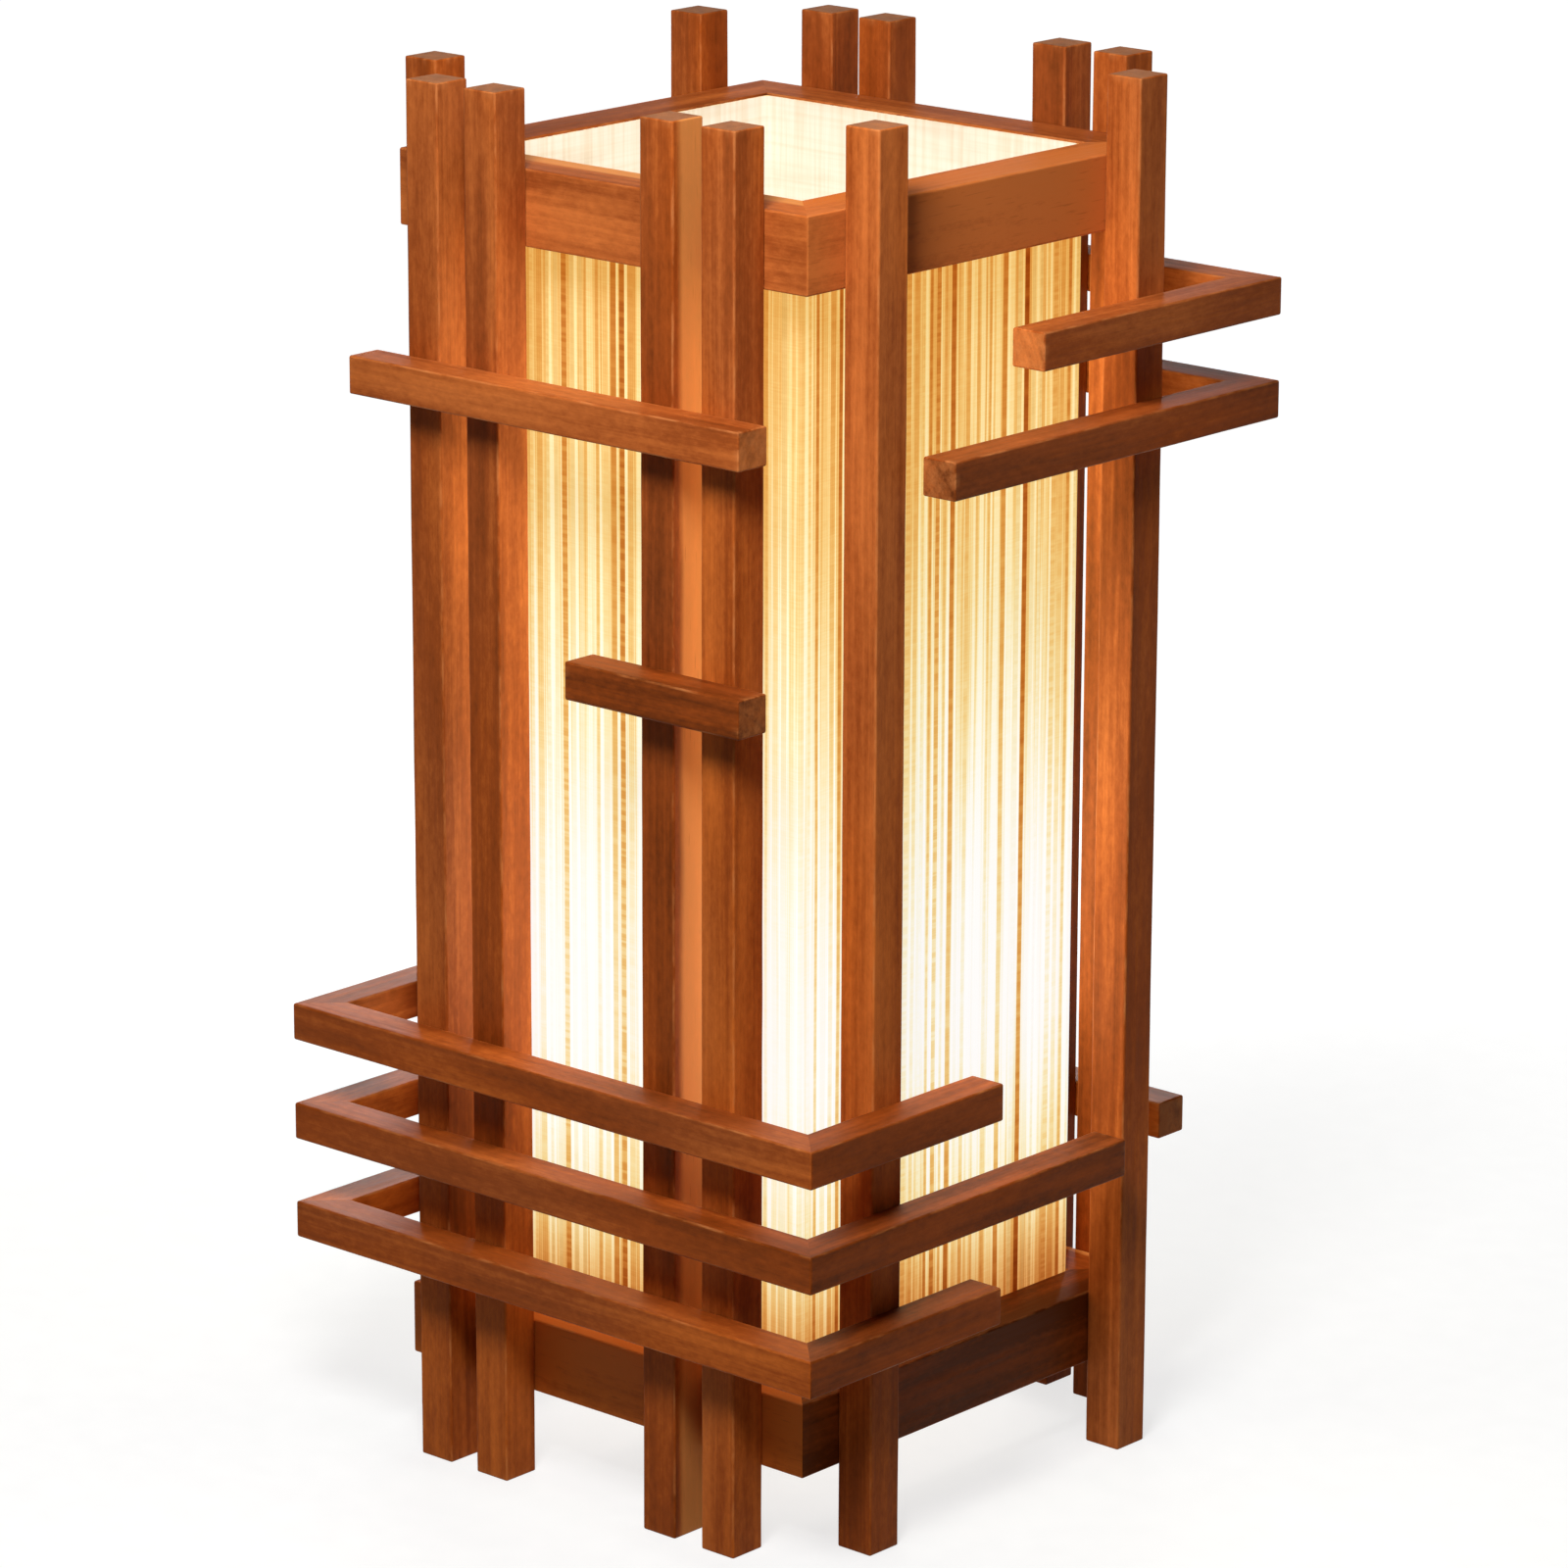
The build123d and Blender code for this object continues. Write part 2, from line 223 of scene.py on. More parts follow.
WOOD_DARK = linear(96, 41, 8)
WOOD_MID = linear(156, 72, 23)
WOOD_LIGHT = linear(210, 110, 42)
WOOD_STOPS = (0.46, WOOD_DARK), (0.70, WOOD_MID), (0.94, WOOD_LIGHT)
WOOD_WORN = linear(208, 132, 76)
WOOD_SHEEN = (1.0, 0.62, 0.32, 1.0)
WOOD_ROUGHNESS = 0.46, 0.6
END_STOPS = (0.46, linear(92, 44, 18)), (0.83, linear(190, 107, 52))
# the grey that end grain facing up turns to, in patches
UPWARD_END_GREY = linear(138, 104, 80)
UPWARD_END_COVER = 0.3, 0.7
SAPWOOD = linear(236, 156, 82)
SAP_RINGS = 78 * MM, 81 * MM  # this far from the heart begins pale sapwood
SAP_WANDER = 6 * MM
SAP_COVER = 0.65
RING_WANDER = 7 * MM
BROWNER = (0.92, 1.03, 1.5, 1.0)  # turns the orange stain towards a greyer brown
BROWN_RANGE = 0.42, 0.62
LIGHT_TINT_HEIGHTS = 80 * MM, 420 * MM  # painted light: between these the stain goes from orange to browner, standing in for the light's change of colour with height
LIGHT_TINT_SHIFT = -0.14, 0.10
PORE_RANGE = 0.68, 0.76
PORE_COVER = 0.22
SCUFF_RANGE = 0.46, 0.68
WORN_COVER = 0.6
NOISE_RANGE = 0.3, 0.7  # nearly all of a noise's values lie between these
WOOD_NOISES = {  # repeats a metre along and across the grain, detail, roughness
    "wander": (5, 26, 1, 0.5),
    "hue": (4, 18, 1, 0.5),
    "cloud": (5, 24, 2, 0.5),
    "streak": (7, 95, 3, 0.6),
    "fibre": (26, 1300, 3, 0.6),
    "mottle": (150, 330, 3, 0.7),
    "pore": (60, 900, 1, 0.5),
    "scuff": (48, 170, 3, 0.65),
}
GROWTH_SCALES = 1.6, 260  # repeats a metre along the grain and out from the heart
FIGURE_WEIGHTS = 0.30, 0.36, 0.55, 0.15, 0.27  # of growth, streak, cloud, fibre and mottle


def stained_wood(name, end=False):
    """Satin reddish brown stain. The grain attribute runs along X; rings circle an axis off the piece."""
    shader = Shader(name)
    grain = shader.attribute("grain").outputs["Vector"]
    # the tone attribute carries each piece's stain shift, partly painted light and shade
    tone = shader.attribute("tone").outputs["Fac"]

    def figure(kind, shift=None):
        """One of the wood's noises. A shift keeps it from following another."""
        lengthwise, crosswise, detail, roughness = WOOD_NOISES[kind]
        place = shader.scaled(grain, lengthwise, crosswise, crosswise)
        if shift is not None:
            place = shader.moved(place, shift)
        return shader.noise(place, detail=detail, roughness=roughness)

    along, across, rise = shader.split(grain)
    across = shader.plus(across, shader.times(shader.centred(figure("wander")), RING_WANDER))
    ring = shader.math("SQRT", shader.plus(shader.times(across, across), shader.times(rise, rise)))
    growth = shader.plane_noise(along, ring, GROWTH_SCALES, detail=2, roughness=0.6)
    streak, cloud, fibre, mottle = [figure(kind) for kind in ("streak", "cloud", "fibre", "mottle")]
    for part, weight in zip((growth, streak, cloud, fibre, mottle), FIGURE_WEIGHTS):
        tone = shader.times_plus(part, weight, tone)
    if end:
        # end grain that faces up turns greyer in patches
        facing_up = shader.split(shader.node("ShaderNodeNewGeometry").outputs["Normal"])[2]
        upward_grey = shader.spread(mottle, NOISE_RANGE, UPWARD_END_COVER)
        upward_grey = shader.times(shader.spread(facing_up, (0.5, 1.0)), upward_grey)
        colour = shader.mix(upward_grey, shader.ramp(tone, *END_STOPS), UPWARD_END_GREY)
    else:
        colour = shader.ramp(tone, *WOOD_STOPS)
        brown = shader.mix(1.0, colour, BROWNER, "MULTIPLY")
        height = shader.split(shader.node("ShaderNodeTexCoord").outputs["Object"])[2]
        # painted light: besides its random hue, the stain turns browner with height
        hue = shader.plus(figure("hue", shift=(5, 5, 5)), shader.spread(height, LIGHT_TINT_HEIGHTS, LIGHT_TINT_SHIFT))
        colour = shader.mix(shader.spread(hue, BROWN_RANGE), colour, brown)
        sap = shader.times_plus(cloud, SAP_WANDER, ring)
        sap = shader.spread(sap, SAP_RINGS, (0.0, SAP_COVER), smooth=True)
        colour = shader.mix(sap, colour, SAPWOOD)
    pore = shader.spread(figure("pore"), PORE_RANGE)
    colour = shader.mix(shader.times(pore, PORE_COVER), colour, WOOD_DARK)
    wear = shader.attribute("wear").outputs["Fac"]
    wear = shader.times(wear, shader.spread(figure("scuff"), SCUFF_RANGE, (0.0, WORN_COVER)))
    colour = shader.mix(wear, colour, WOOD_WORN)
    shader.set(Base_Color=colour, Specular_IOR_Level=0.15, Specular_Tint=WOOD_SHEEN,
               Roughness=shader.spread(fibre, NOISE_RANGE, WOOD_ROUGHNESS))
    relief = shader.times_plus(fibre, 0.6, shader.times(mottle, 0.5))
    shader.bump(relief, strength=0.8 if end else 0.5, distance=0.1 * MM)
    return shader.made


STAINED = stained_wood("stained_wood")
STAINED_END = stained_wood("stained_wood_end", end=True)

# -------- timber pieces

ARRIS = 1.1 * MM  # rounding of the long edges
ARRIS_LEAST = 0.15 * MM
ARRIS_UNEVEN = 0.3  # share by which the rounding varies along a piece
ARRIS_WAVES = 28  # how often it varies, a metre
ARRIS_APART = 5.0  # how far apart in the noise the four arrises lie
END_EASE = 0.8 * MM  # rounding of the cut ends
TIP_WEAR = 0.45  # how worn the wood is just behind a cut end
TIP_REACH = 4 * MM
MITRE_GAP = 0.01 * MM  # from a mitred end to the corner's diagonal
LOOP_PITCH = 12 * MM  # spacing of the sections along a piece
ARC_STEPS = 3
HEART_ACROSS = 20, 55  # millimetres from the piece to the tree's heart
HEART_RISE = -38, 38
TONE_CHANCE = 0.03

ALONG = {"front": Vector((1, 0, 0)), "right": Vector((0, 1, 0)), "rear": Vector((-1, 0, 0)),
         "left": Vector((0, -1, 0))}
UP = Vector((0, 0, 1))


def eased_section(width, height, radii, inset):
    """Points round a rectangle with rounded corners: (across, rise, arris weight)."""
    points = []
    corners = ((1, 1), (-1, 1), (-1, -1), (1, -1))
    for quadrant, (side_a, side_b) in enumerate(corners):
        radius = max(radii[quadrant] - inset, ARRIS_LEAST)
        centre_a = side_a * (width / 2 - inset - radius)
        centre_b = side_b * (height / 2 - inset - radius)
        for step in range(ARC_STEPS + 1):
            angle = math.radians(90) * (quadrant + step / ARC_STEPS)
            points.append((centre_a + radius * math.cos(angle), centre_b + radius * math.sin(angle),
                           math.sin(math.pi * step / ARC_STEPS)))
    return points


BASE_TONE = -0.11
TONES_AND_PAINTED_LIGHT = {  # pieces made darker or lighter than most: partly the wood's own tone, partly painted shade and painted light, such as the darker right-hand arms and lower right board
    "front_high_bar": 0.06, "front_short_bar": -0.11,
    "low_bar_bottom_front": 0.04, "low_bar_bottom_right_arm": -0.11,
    "low_bar_middle_right_arm": -0.14, "low_bar_top_right_arm": -0.06,
    "corner_bar_lower_right_arm": -0.12, "corner_bar_upper_right_arm": -0.02,
    "upper_frame_front": 0.08, "upper_frame_right": 0.16,
    "lower_frame_front": 0.25, "lower_frame_right": -0.22,
    "front_post_1": 0.05, "front_post_3": -0.06, "front_post_4": 0.08,
    "right_post_1": 0.02, "right_post_2": 0.03,
}
HEARTS = {"front_post_3": (-50 * MM, 52 * MM)}  # (across, rise) of a piece with a corner of sapwood


def timber(node, side, ends=("square", "square"), upright=False):
    """A sawn and eased length of wood on one side of the lamp. It fills its CAD node's box.

    Its two ends are "square" or "mitre".
    """
    name = f"timber_{node}"
    length_axis = UP if upright else ALONG[side]
    across_axis = ALONG[side].cross(UP)
    rise_axis = length_axis.cross(across_axis)
    low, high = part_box(node)

    def reach(axis):
        return sorted((low.dot(axis), high.dot(axis)))

    start, stop = reach(length_axis)
    inner, outer = reach(across_axis)
    floor, roof = reach(rise_axis)
    width, height = outer - inner, roof - floor
    middle_a, middle_b = (inner + outer) / 2, (floor + roof) / 2
    chance = random.Random(name)
    seed = chance.uniform(0, 100)
    heart = HEARTS.get(node, (
        chance.choice((-1, 1)) * chance.uniform(*HEART_ACROSS) * MM, chance.uniform(*HEART_RISE) * MM))
    heart = Vector((chance.uniform(0, 9), *heart))

    mesh = bmesh.new()
    grain_layer = mesh.verts.layers.float_vector.new("grain")
    wear_layer = mesh.verts.layers.float.new("wear")
    tone_and_light_layer = mesh.verts.layers.float.new("tone")
    # this piece's shift of the stain, part of it painted light and shade
    tone = BASE_TONE + TONES_AND_PAINTED_LIGHT.get(node, 0.0) + chance.uniform(-TONE_CHANCE, TONE_CHANCE)

    def loop(place, inset=0.0, bend=None, worn=0.0):
        """One section of vertices. bend(across) gives (place, across) for the points near a mitre."""
        radii = [ARRIS * (1 + ARRIS_UNEVEN * noise.noise((place * ARRIS_WAVES, corner * ARRIS_APART, seed)))
                 for corner in range(4)]
        made = []
        for across, rise, weight in eased_section(width, height, radii, inset):
            here, out = place, across + middle_a
            if bend is not None:
                here, out = bend(out)
            vertex = mesh.verts.new(length_axis * here + across_axis * out + rise_axis * (rise + middle_b))
            vertex[grain_layer] = (here + heart.x, out - middle_a + heart.y, rise + heart.z)
            vertex[wear_layer] = max(weight, worn)
            vertex[tone_and_light_layer] = tone
            made.append(vertex)
        return made

    corner_centre = outer - ARRIS

    def mitre_bend(sign, angle):
        """Where a point lies at a mitred end, the angle round the rounded outer corner."""
        def bend(out):
            over = out - corner_centre
            if over <= 0:
                return sign * (out - MITRE_GAP), out
            along = sign * (corner_centre + over * math.sin(angle) - MITRE_GAP)
            return along, corner_centre + over * math.cos(angle)
        return bend

    def end_loops(sign, kind):
        """The sections of one end, from the straight part outward."""
        if kind == "mitre":
            angles = [math.radians(45) * step / ARC_STEPS for step in range(ARC_STEPS + 1)]
            return [loop(sign * inner, bend=mitre_bend(sign, angle)) for angle in angles]
        face = stop if sign > 0 else start
        made = [loop(face - sign * TIP_REACH)]
        for step in range(ARC_STEPS + 1):
            angle = math.radians(90) * step / ARC_STEPS
            made.append(loop(face - sign * END_EASE * (1 - math.sin(angle)),
                             inset=END_EASE * (1 - math.cos(angle)),
                             worn=TIP_WEAR + (1 - TIP_WEAR) * math.sin(2 * angle)))
        return made

    left_kind, right_kind = ends
    first = start + TIP_REACH if left_kind == "square" else -inner
    last = stop - TIP_REACH if right_kind == "square" else inner
    count = max(2, round((last - first) / LOOP_PITCH))
    straight = [loop(first + (last - first) * step / count) for step in range(1, count)]
    loops = end_loops(-1, left_kind)[::-1] + straight + end_loops(1, right_kind)
    bridge(mesh, loops)
    for cap, kind in ((loops[0][::-1], left_kind), (loops[-1], right_kind)):
        mesh.faces.new(cap).material_index = 1 if kind == "square" else 0
    piece = finished(name, mesh, STAINED, STAINED_END, weld=0.002 * MM, crease=50)
    piece.modifiers.new("flat faces stay flat", "WEIGHTED_NORMAL").keep_sharp = True
    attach(piece, "lamp")
    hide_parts(node)


for side in ALONG:
    for level in ("lower", "upper"):
        timber(f"{level}_frame_{side}", side, ("mitre", "mitre"))

for side, count in (("front", 4), ("right", 2), ("rear", 4), ("left", 2)):
    for number in range(1, count + 1):
        timber(f"{side}_post_{number}", side, upright=True)

timber("front_high_bar", "front")
timber("front_short_bar", "front")
timber("rear_low_bar", "rear")

for level in ("bottom", "middle", "top"):
    timber(f"low_bar_{level}_left_arm", "left", ("square", "mitre"))
    timber(f"low_bar_{level}_front", "front", ("mitre", "mitre"))
    timber(f"low_bar_{level}_right_arm", "right", ("mitre", "square"))

for level in ("lower", "upper"):
    timber(f"corner_bar_{level}_right_arm", "right", ("square", "mitre"))
    timber(f"corner_bar_{level}_rear_arm", "rear", ("mitre", "square"))

# -------- shade

fabric_low, fabric_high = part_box("shade_fabric_front")
GLOW_HEIGHT = 226 * MM  # where the bulb makes the shade brightest
GLOW_REACH_UP = 98 * MM
GLOW_REACH_DOWN = 56 * MM
DIM_BELOW = 140 * MM  # under this the lampholder shades the cloth
DIM_DEPTH = 1.3
DIM_TINT = (0.8, 1.1, 1.35)
GLOW_FALL = 1.27  # how fast the light falls off
GLOW_TINT = (0.37, 0.60, 0.98)  # how strongly each channel fades away from the bulb
CLOTH_GLOW = (10.0, 9.0, 8.5)  # the light through undyed yarn beside the bulb
SHADE_GLOW = 0.92  # brightness of a fully lit patch
UNDYED = linear(142, 134, 112)
YARN_TINT = (1.5, 2.3, 3.5)  # how strongly a dark yarn takes from each channel
GREY_TINT = (1.4, 1.6, 2.2)
GREY_STRIPES = 0.26, 0.06  # middle and half width of the greenish grey stripes' share
STRIPES = (  # (draw from which a stripe is of a kind, depth of its dye)
    (0.0, 0.10), (0.20, 0.40), (0.32, 0.30), (0.46, 0.50), (0.66, 0.75), (0.84, 0.95), (0.93, 1.25),
)
RIB_PITCH = 1.3 * MM  # the cloth's fine cords
GROOVE_WIDTH = 0.25  # of the pitch, each way; the grooves between cords get painted shade
GROOVE_PAINTED_SHADE = 0.07
STRIPE_PITCH = 4 * RIB_PITCH
STRIPE_HALVES = 0.16, 0.33  # half width of a stripe, as a share of the pitch
STRIPE_BLUR = -0.07, 0.07
STRIPE_SWAY = 0.9 * MM  # how far a stripe strays sideways
KIND_DRAW, WIDTH_DRAW, SLUB_DRAW = 1.0, 5.0, 9.0  # seeds of what is drawn for each stripe
SLUBBED_ABOVE = 0.7  # stripes that draw more are spun with slubs
SLUB_RANGE = 0.40, 0.60
SLUB_DEPTH = 0.87, 1.10  # how the dye's depth varies up a slubbed stripe, and up a plain one
PLAIN_DEPTH = 0.86, 1.12
GROUND_RANGE = 0.41, 0.64
GROUND_DEPTH = 0.48  # of the darkest yarns between the stripes
WEFT_DEPTH = 0.14


def glow_depth(shader, height):
    """How far the light has fallen off at a height: none beside the bulb."""
    above = shader.minus(height, GLOW_HEIGHT)
    distance = shader.math("MAXIMUM", shader.math("DIVIDE", above, GLOW_REACH_UP),
                           shader.math("DIVIDE", above, -GLOW_REACH_DOWN))
    square = shader.times_plus(distance, distance, 1.0)
    return shader.times(shader.math("LOGARITHM", square, math.e), GLOW_FALL)


def filtered(shader, strengths, *layers):
    """Light of each channel's strength after layers of (depth, tint): it falls off as exp(-depth * tint)."""
    channels = []
    for channel, strength in enumerate(strengths):
        total = 0.0
        for depth, tint in layers:
            total = shader.times_plus(depth, -tint[channel], total)
        channels.append(shader.times(shader.math("EXPONENT", total), strength))
    return shader.node("ShaderNodeCombineColor", dict(enumerate(channels))).outputs[0]


def exposed(shader, light):
    """Light as the eye takes it in: it nears white softly instead of clipping."""
    channels = [shader.minus(1.0, shader.math("EXPONENT", shader.times(channel, -1.0)))
                for channel in shader.node("ShaderNodeSeparateColor", {0: light}).outputs]
    return shader.node("ShaderNodeCombineColor", dict(enumerate(channels))).outputs[0]


def striped_cloth():
    """Cream cloth with ochre, brown and rust yarns that run up it, lit from inside.

    The scales of its noises are repeats a metre round the shade, or from stripe to stripe, and a metre up it.
    """
    shader = Shader("striped_cloth")
    cloth = shader.attribute("cloth").outputs["Vector"]
    around, height, _ = shader.split(cloth)
    sway = shader.centred(shader.plane_noise(around, height, (40, 8), detail=1))
    lean = shader.times_plus(sway, STRIPE_SWAY, around)
    stripe = shader.math("DIVIDE", lean, STRIPE_PITCH)
    number = shader.math("FLOOR", stripe)

    def pick(seed):
        """A random value for each stripe."""
        return shader.node("ShaderNodeTexWhiteNoise", {"Vector": shader.join(number, seed)},
                           noise_dimensions="2D").outputs["Value"]

    kind = pick(KIND_DRAW)
    depth = shader.ramp(kind, *[(place, (level, level, level, 1.0)) for place, level in STRIPES],
                        interpolation="CONSTANT")
    plain = shader.plane_noise(number, height, (7.3, 150), detail=2, roughness=0.6)
    plain = shader.spread(plain, NOISE_RANGE, PLAIN_DEPTH)
    slubs = shader.plane_noise(number, height, (3.1, 340), detail=1)
    slubs = shader.spread(slubs, SLUB_RANGE, SLUB_DEPTH, smooth=True)
    slubbed = shader.math("GREATER_THAN", pick(SLUB_DRAW), SLUBBED_ABOVE)
    depth = shader.times(depth, shader.mix(slubbed, plain, slubs))
    offset = shader.math("ABSOLUTE", shader.centred(shader.math("FRACT", stripe)))
    edge = shader.minus(offset, shader.spread(pick(WIDTH_DRAW), (0.0, 1.0), STRIPE_HALVES))
    line = shader.spread(edge, STRIPE_BLUR, (1.0, 0.0), smooth=True)
    ground = shader.plane_noise(lean, height, (380, 3), detail=2)
    ground = shader.spread(ground, GROUND_RANGE, (0.0, GROUND_DEPTH))
    shade = shader.mix(line, ground, depth)
    ridge = shader.math("PINGPONG", shader.math("DIVIDE", around, RIB_PITCH), 0.5)
    # painted shade in the grooves between the cords
    groove_shade = shader.spread(ridge, (0.0, GROOVE_WIDTH), (GROOVE_PAINTED_SHADE, 0.0), smooth=True)
    weft = shader.plane_noise(around, height, (90, 1300), detail=1)
    shade = shader.times_plus(shader.centred(weft), WEFT_DEPTH, shader.plus(shade, groove_shade))
    shade = shader.math("MAXIMUM", shade, 0.0)
    greyish = shader.times(shader.times(shader.math("COMPARE", kind, *GREY_STRIPES), line), shade)
    yarns = (shader.minus(shade, greyish), YARN_TINT), (greyish, GREY_TINT)
    dim = shader.spread(height, (DIM_BELOW, fabric_low.z), (0.0, DIM_DEPTH), smooth=True)
    light = filtered(shader, CLOTH_GLOW, (glow_depth(shader, height), GLOW_TINT), (dim, DIM_TINT), *yarns)
    shader.set(
        Base_Color=filtered(shader, UNDYED[:3], *yarns),
        Roughness=0.9,
        Specular_IOR_Level=0.15,
        Emission_Color=exposed(shader, light),
        Emission_Strength=SHADE_GLOW,
    )
    shader.bump(shader.plus(ridge, shader.times(weft, 0.25)), strength=0.5, distance=0.25 * MM)
    shader.made.cycles.emission_sampling = "NONE"
    return shader.made


LINING_GLOW = (3.3, 2.5, 2.1)
LINING_TINT = (0.12, 0.16, 0.24)
LINING_PALE = linear(130, 126, 114)
LINING_DARK = linear(112, 98, 76)
THREAD_SCALES = 420, 12  # repeats a metre across a thread and along it
THREAD_TINT = (1.2, 1.45, 1.9)
UPRIGHT_DEPTH = 0.24
LEVEL_DEPTH = 0.13
STAIN_DEPTH = 0.28  # faint greyish marks
STAIN_TINT = (1.2, 1.15, 1.2)


def lining():
    """Pale translucent sheet with a linen texture, lit by the bulb in front of it."""
    shader = Shader("lining")
    cloth = shader.attribute("cloth").outputs["Vector"]
    around, height, _ = shader.split(cloth)
    upright = shader.plane_noise(around, height, THREAD_SCALES, detail=2)
    level = shader.plane_noise(around, height, THREAD_SCALES[::-1], detail=2)
    threads = shader.plus(shader.spread(upright, (0.4, 0.75), (0.0, UPRIGHT_DEPTH)),
                          shader.spread(level, (0.45, 0.8), (0.0, LEVEL_DEPTH)))
    stain = shader.plane_noise(around, height, (14, 42), detail=3, roughness=0.6)
    stain = shader.spread(stain, (0.48, 0.72), (0.0, STAIN_DEPTH), smooth=True)
    light = filtered(shader, LINING_GLOW, (glow_depth(shader, height), LINING_TINT), (threads, THREAD_TINT),
                     (stain, STAIN_TINT))
    shader.set(
        Base_Color=shader.mix(threads, LINING_PALE, LINING_DARK),
        Roughness=0.6,
        Specular_IOR_Level=0.3,
        Emission_Color=exposed(shader, light),
        Emission_Strength=SHADE_GLOW,
    )
    shader.bump(threads, strength=0.4, distance=0.1 * MM)
    shader.made.cycles.emission_sampling = "NONE"
    return shader.made


RIDGE_SWELL = 0.75  # share of the relief that a ridge has on average
RIDGE_UNEVEN = 0.5
RIDGES_APART = 0.7  # how far apart in the noise two columns lie
RIDGE_WAVES = 120  # how often a ridge's height varies, a metre
FOLD_RADIUS = 1.2 * MM


def wrapped_sheet(name, material, half, thickness, relief, levels, spacing, inward):
    """A sheet folded round a square, with one seam at the front left corner. Its ridges run up it."""
    straight = 2 * (half - FOLD_RADIUS)
    arc = math.pi / 2 * FOLD_RADIUS
    perimeter = 4 * (straight + arc)
    columns = round(perimeter / spacing)

    def place(travel):
        """Point and outward direction at a distance round the sheet."""
        quarter, rest = divmod(travel, straight + arc)
        cosine, sine = math.cos(math.pi / 2 * quarter), math.sin(math.pi / 2 * quarter)
        if rest <= straight:
            point, facing = Vector((rest - straight / 2, -half, 0)), Vector((0, -1, 0))
        else:
            angle = (rest - straight) / FOLD_RADIUS
            facing = Vector((math.sin(angle), -math.cos(angle), 0))
            point = Vector((half - FOLD_RADIUS, -half + FOLD_RADIUS, 0)) + facing * FOLD_RADIUS
        return [Vector((vector.x * cosine - vector.y * sine, vector.x * sine + vector.y * cosine, 0))
                for vector in (point, facing)]

    mesh = bmesh.new()
    cloth_layer = mesh.verts.layers.float_vector.new("cloth")
    grid = []
    for level in range(levels + 1):
        height = fabric_low.z + (fabric_high.z - fabric_low.z) * level / levels
        line = []
        for column in range(columns):
            travel = perimeter * column / columns
            point, facing = place(travel)
            uneven = noise.noise((column * RIDGES_APART, height * RIDGE_WAVES, 1.0))
            swell = relief * (column % 2) * (RIDGE_SWELL + RIDGE_UNEVEN * uneven)
            vertex = mesh.verts.new(point - facing * (relief - swell) + UP * height)
            vertex[cloth_layer] = (travel, height, 0)
            line.append(vertex)
        grid.append(line)
    bridge(mesh, grid, inward)
    piece = finished(name, mesh, material)
    skin = piece.modifiers.new("thickness", "SOLIDIFY")
    skin.thickness = thickness
    skin.offset = -1
    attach(piece, "lamp")
    return piece


_, liner_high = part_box("shade_liner_front")
FABRIC_HALF = -fabric_low.y
LINER_HALF = -liner_high.y

cloth = wrapped_sheet("shade_cloth", striped_cloth(), FABRIC_HALF, thickness=0.35 * MM, relief=0.12 * MM,
                      levels=40, spacing=RIB_PITCH / 2, inward=False)
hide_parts(*[f"shade_fabric_{side}" for side in ALONG])

liner = wrapped_sheet("shade_lining", lining(), LINER_HALF, thickness=0.5 * MM, relief=0.02 * MM,
                      levels=12, spacing=4 * MM, inward=True)
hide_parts(*[f"shade_liner_{side}" for side in ALONG])

# -------- turned pieces

EASE_STEPS = 3
EASE_SHARE = 0.45  # most of an edge that the rounding at one of its ends takes


def eased(profile, radius):
    """A closed profile of (radius, height) points with its corners rounded off, those on the axis apart."""
    made = []
    points = [Vector(point) for point in profile]
    for before, corner, after in zip(points[-1:] + points[:-1], points, points[1:] + points[:1]):
        back, ahead = before - corner, after - corner
        cut = min(radius, back.length * EASE_SHARE, ahead.length * EASE_SHARE)
        if corner.x == 0 or cut == 0:
            made.append(corner)
            continue
        start, stop = corner + back.normalized() * cut, corner + ahead.normalized() * cut
        for step in range(EASE_STEPS + 1):
            share = step / EASE_STEPS
            made.append(start.lerp(corner, share).lerp(corner.lerp(stop, share), share))
    return made


def rows(start, stop, pitch):
    """Points from one (radius, height) to another, close enough together to carry a thread or a recess."""
    start, stop = Vector(start), Vector(stop)
    count = max(1, math.ceil((stop - start).length / pitch))
    return [start.lerp(stop, step / count) for step in range(count + 1)]


def turned(name, node, profiles, material, centres=((0, 0),), segments=48, shape=None, body="lamp"):
    """Closed profiles of (radius, height) points, turned round the upright axis at each centre.

    shape(radius, height, angle) gives the radius and height that a point moves to.
    """
    mesh = bmesh.new()
    for (x, y), profile in itertools.product(centres, profiles):
        rings = []
        for radius, height in profile:
            ring = []
            for step in range(segments):
                angle = 2 * math.pi * step / segments
                reach, rise = shape(radius, height, angle) if shape else (radius, height)
                ring.append(mesh.verts.new((x + reach * math.cos(angle), y + reach * math.sin(angle), rise)))
            rings.append(ring)
        on_axis = profile[0][0] == 0 and profile[-1][0] == 0
        bridge(mesh, rings if on_axis else rings + rings[:1])
    piece = finished(name, mesh, material, weld=0.001 * MM, crease=35)
    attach(piece, body)
    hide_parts(node)


def thread(depth, pitch, low, high, reach=0.0, rolled=False):
    """A thread in the walls that stand further out than reach, between two heights; it fades at both ends."""
    def shape(radius, height, angle):
        if radius <= reach or not low < height < high:
            return radius, height
        phase = (height / pitch - angle / (2 * math.pi)) % 1
        wave = (1 - math.cos(2 * math.pi * phase)) / 2 if rolled else abs(2 * phase - 1)
        return radius - depth * wave * min(1, (height - low) / pitch, (high - height) / pitch), height
    return shape


# -------- finishes of the fittings

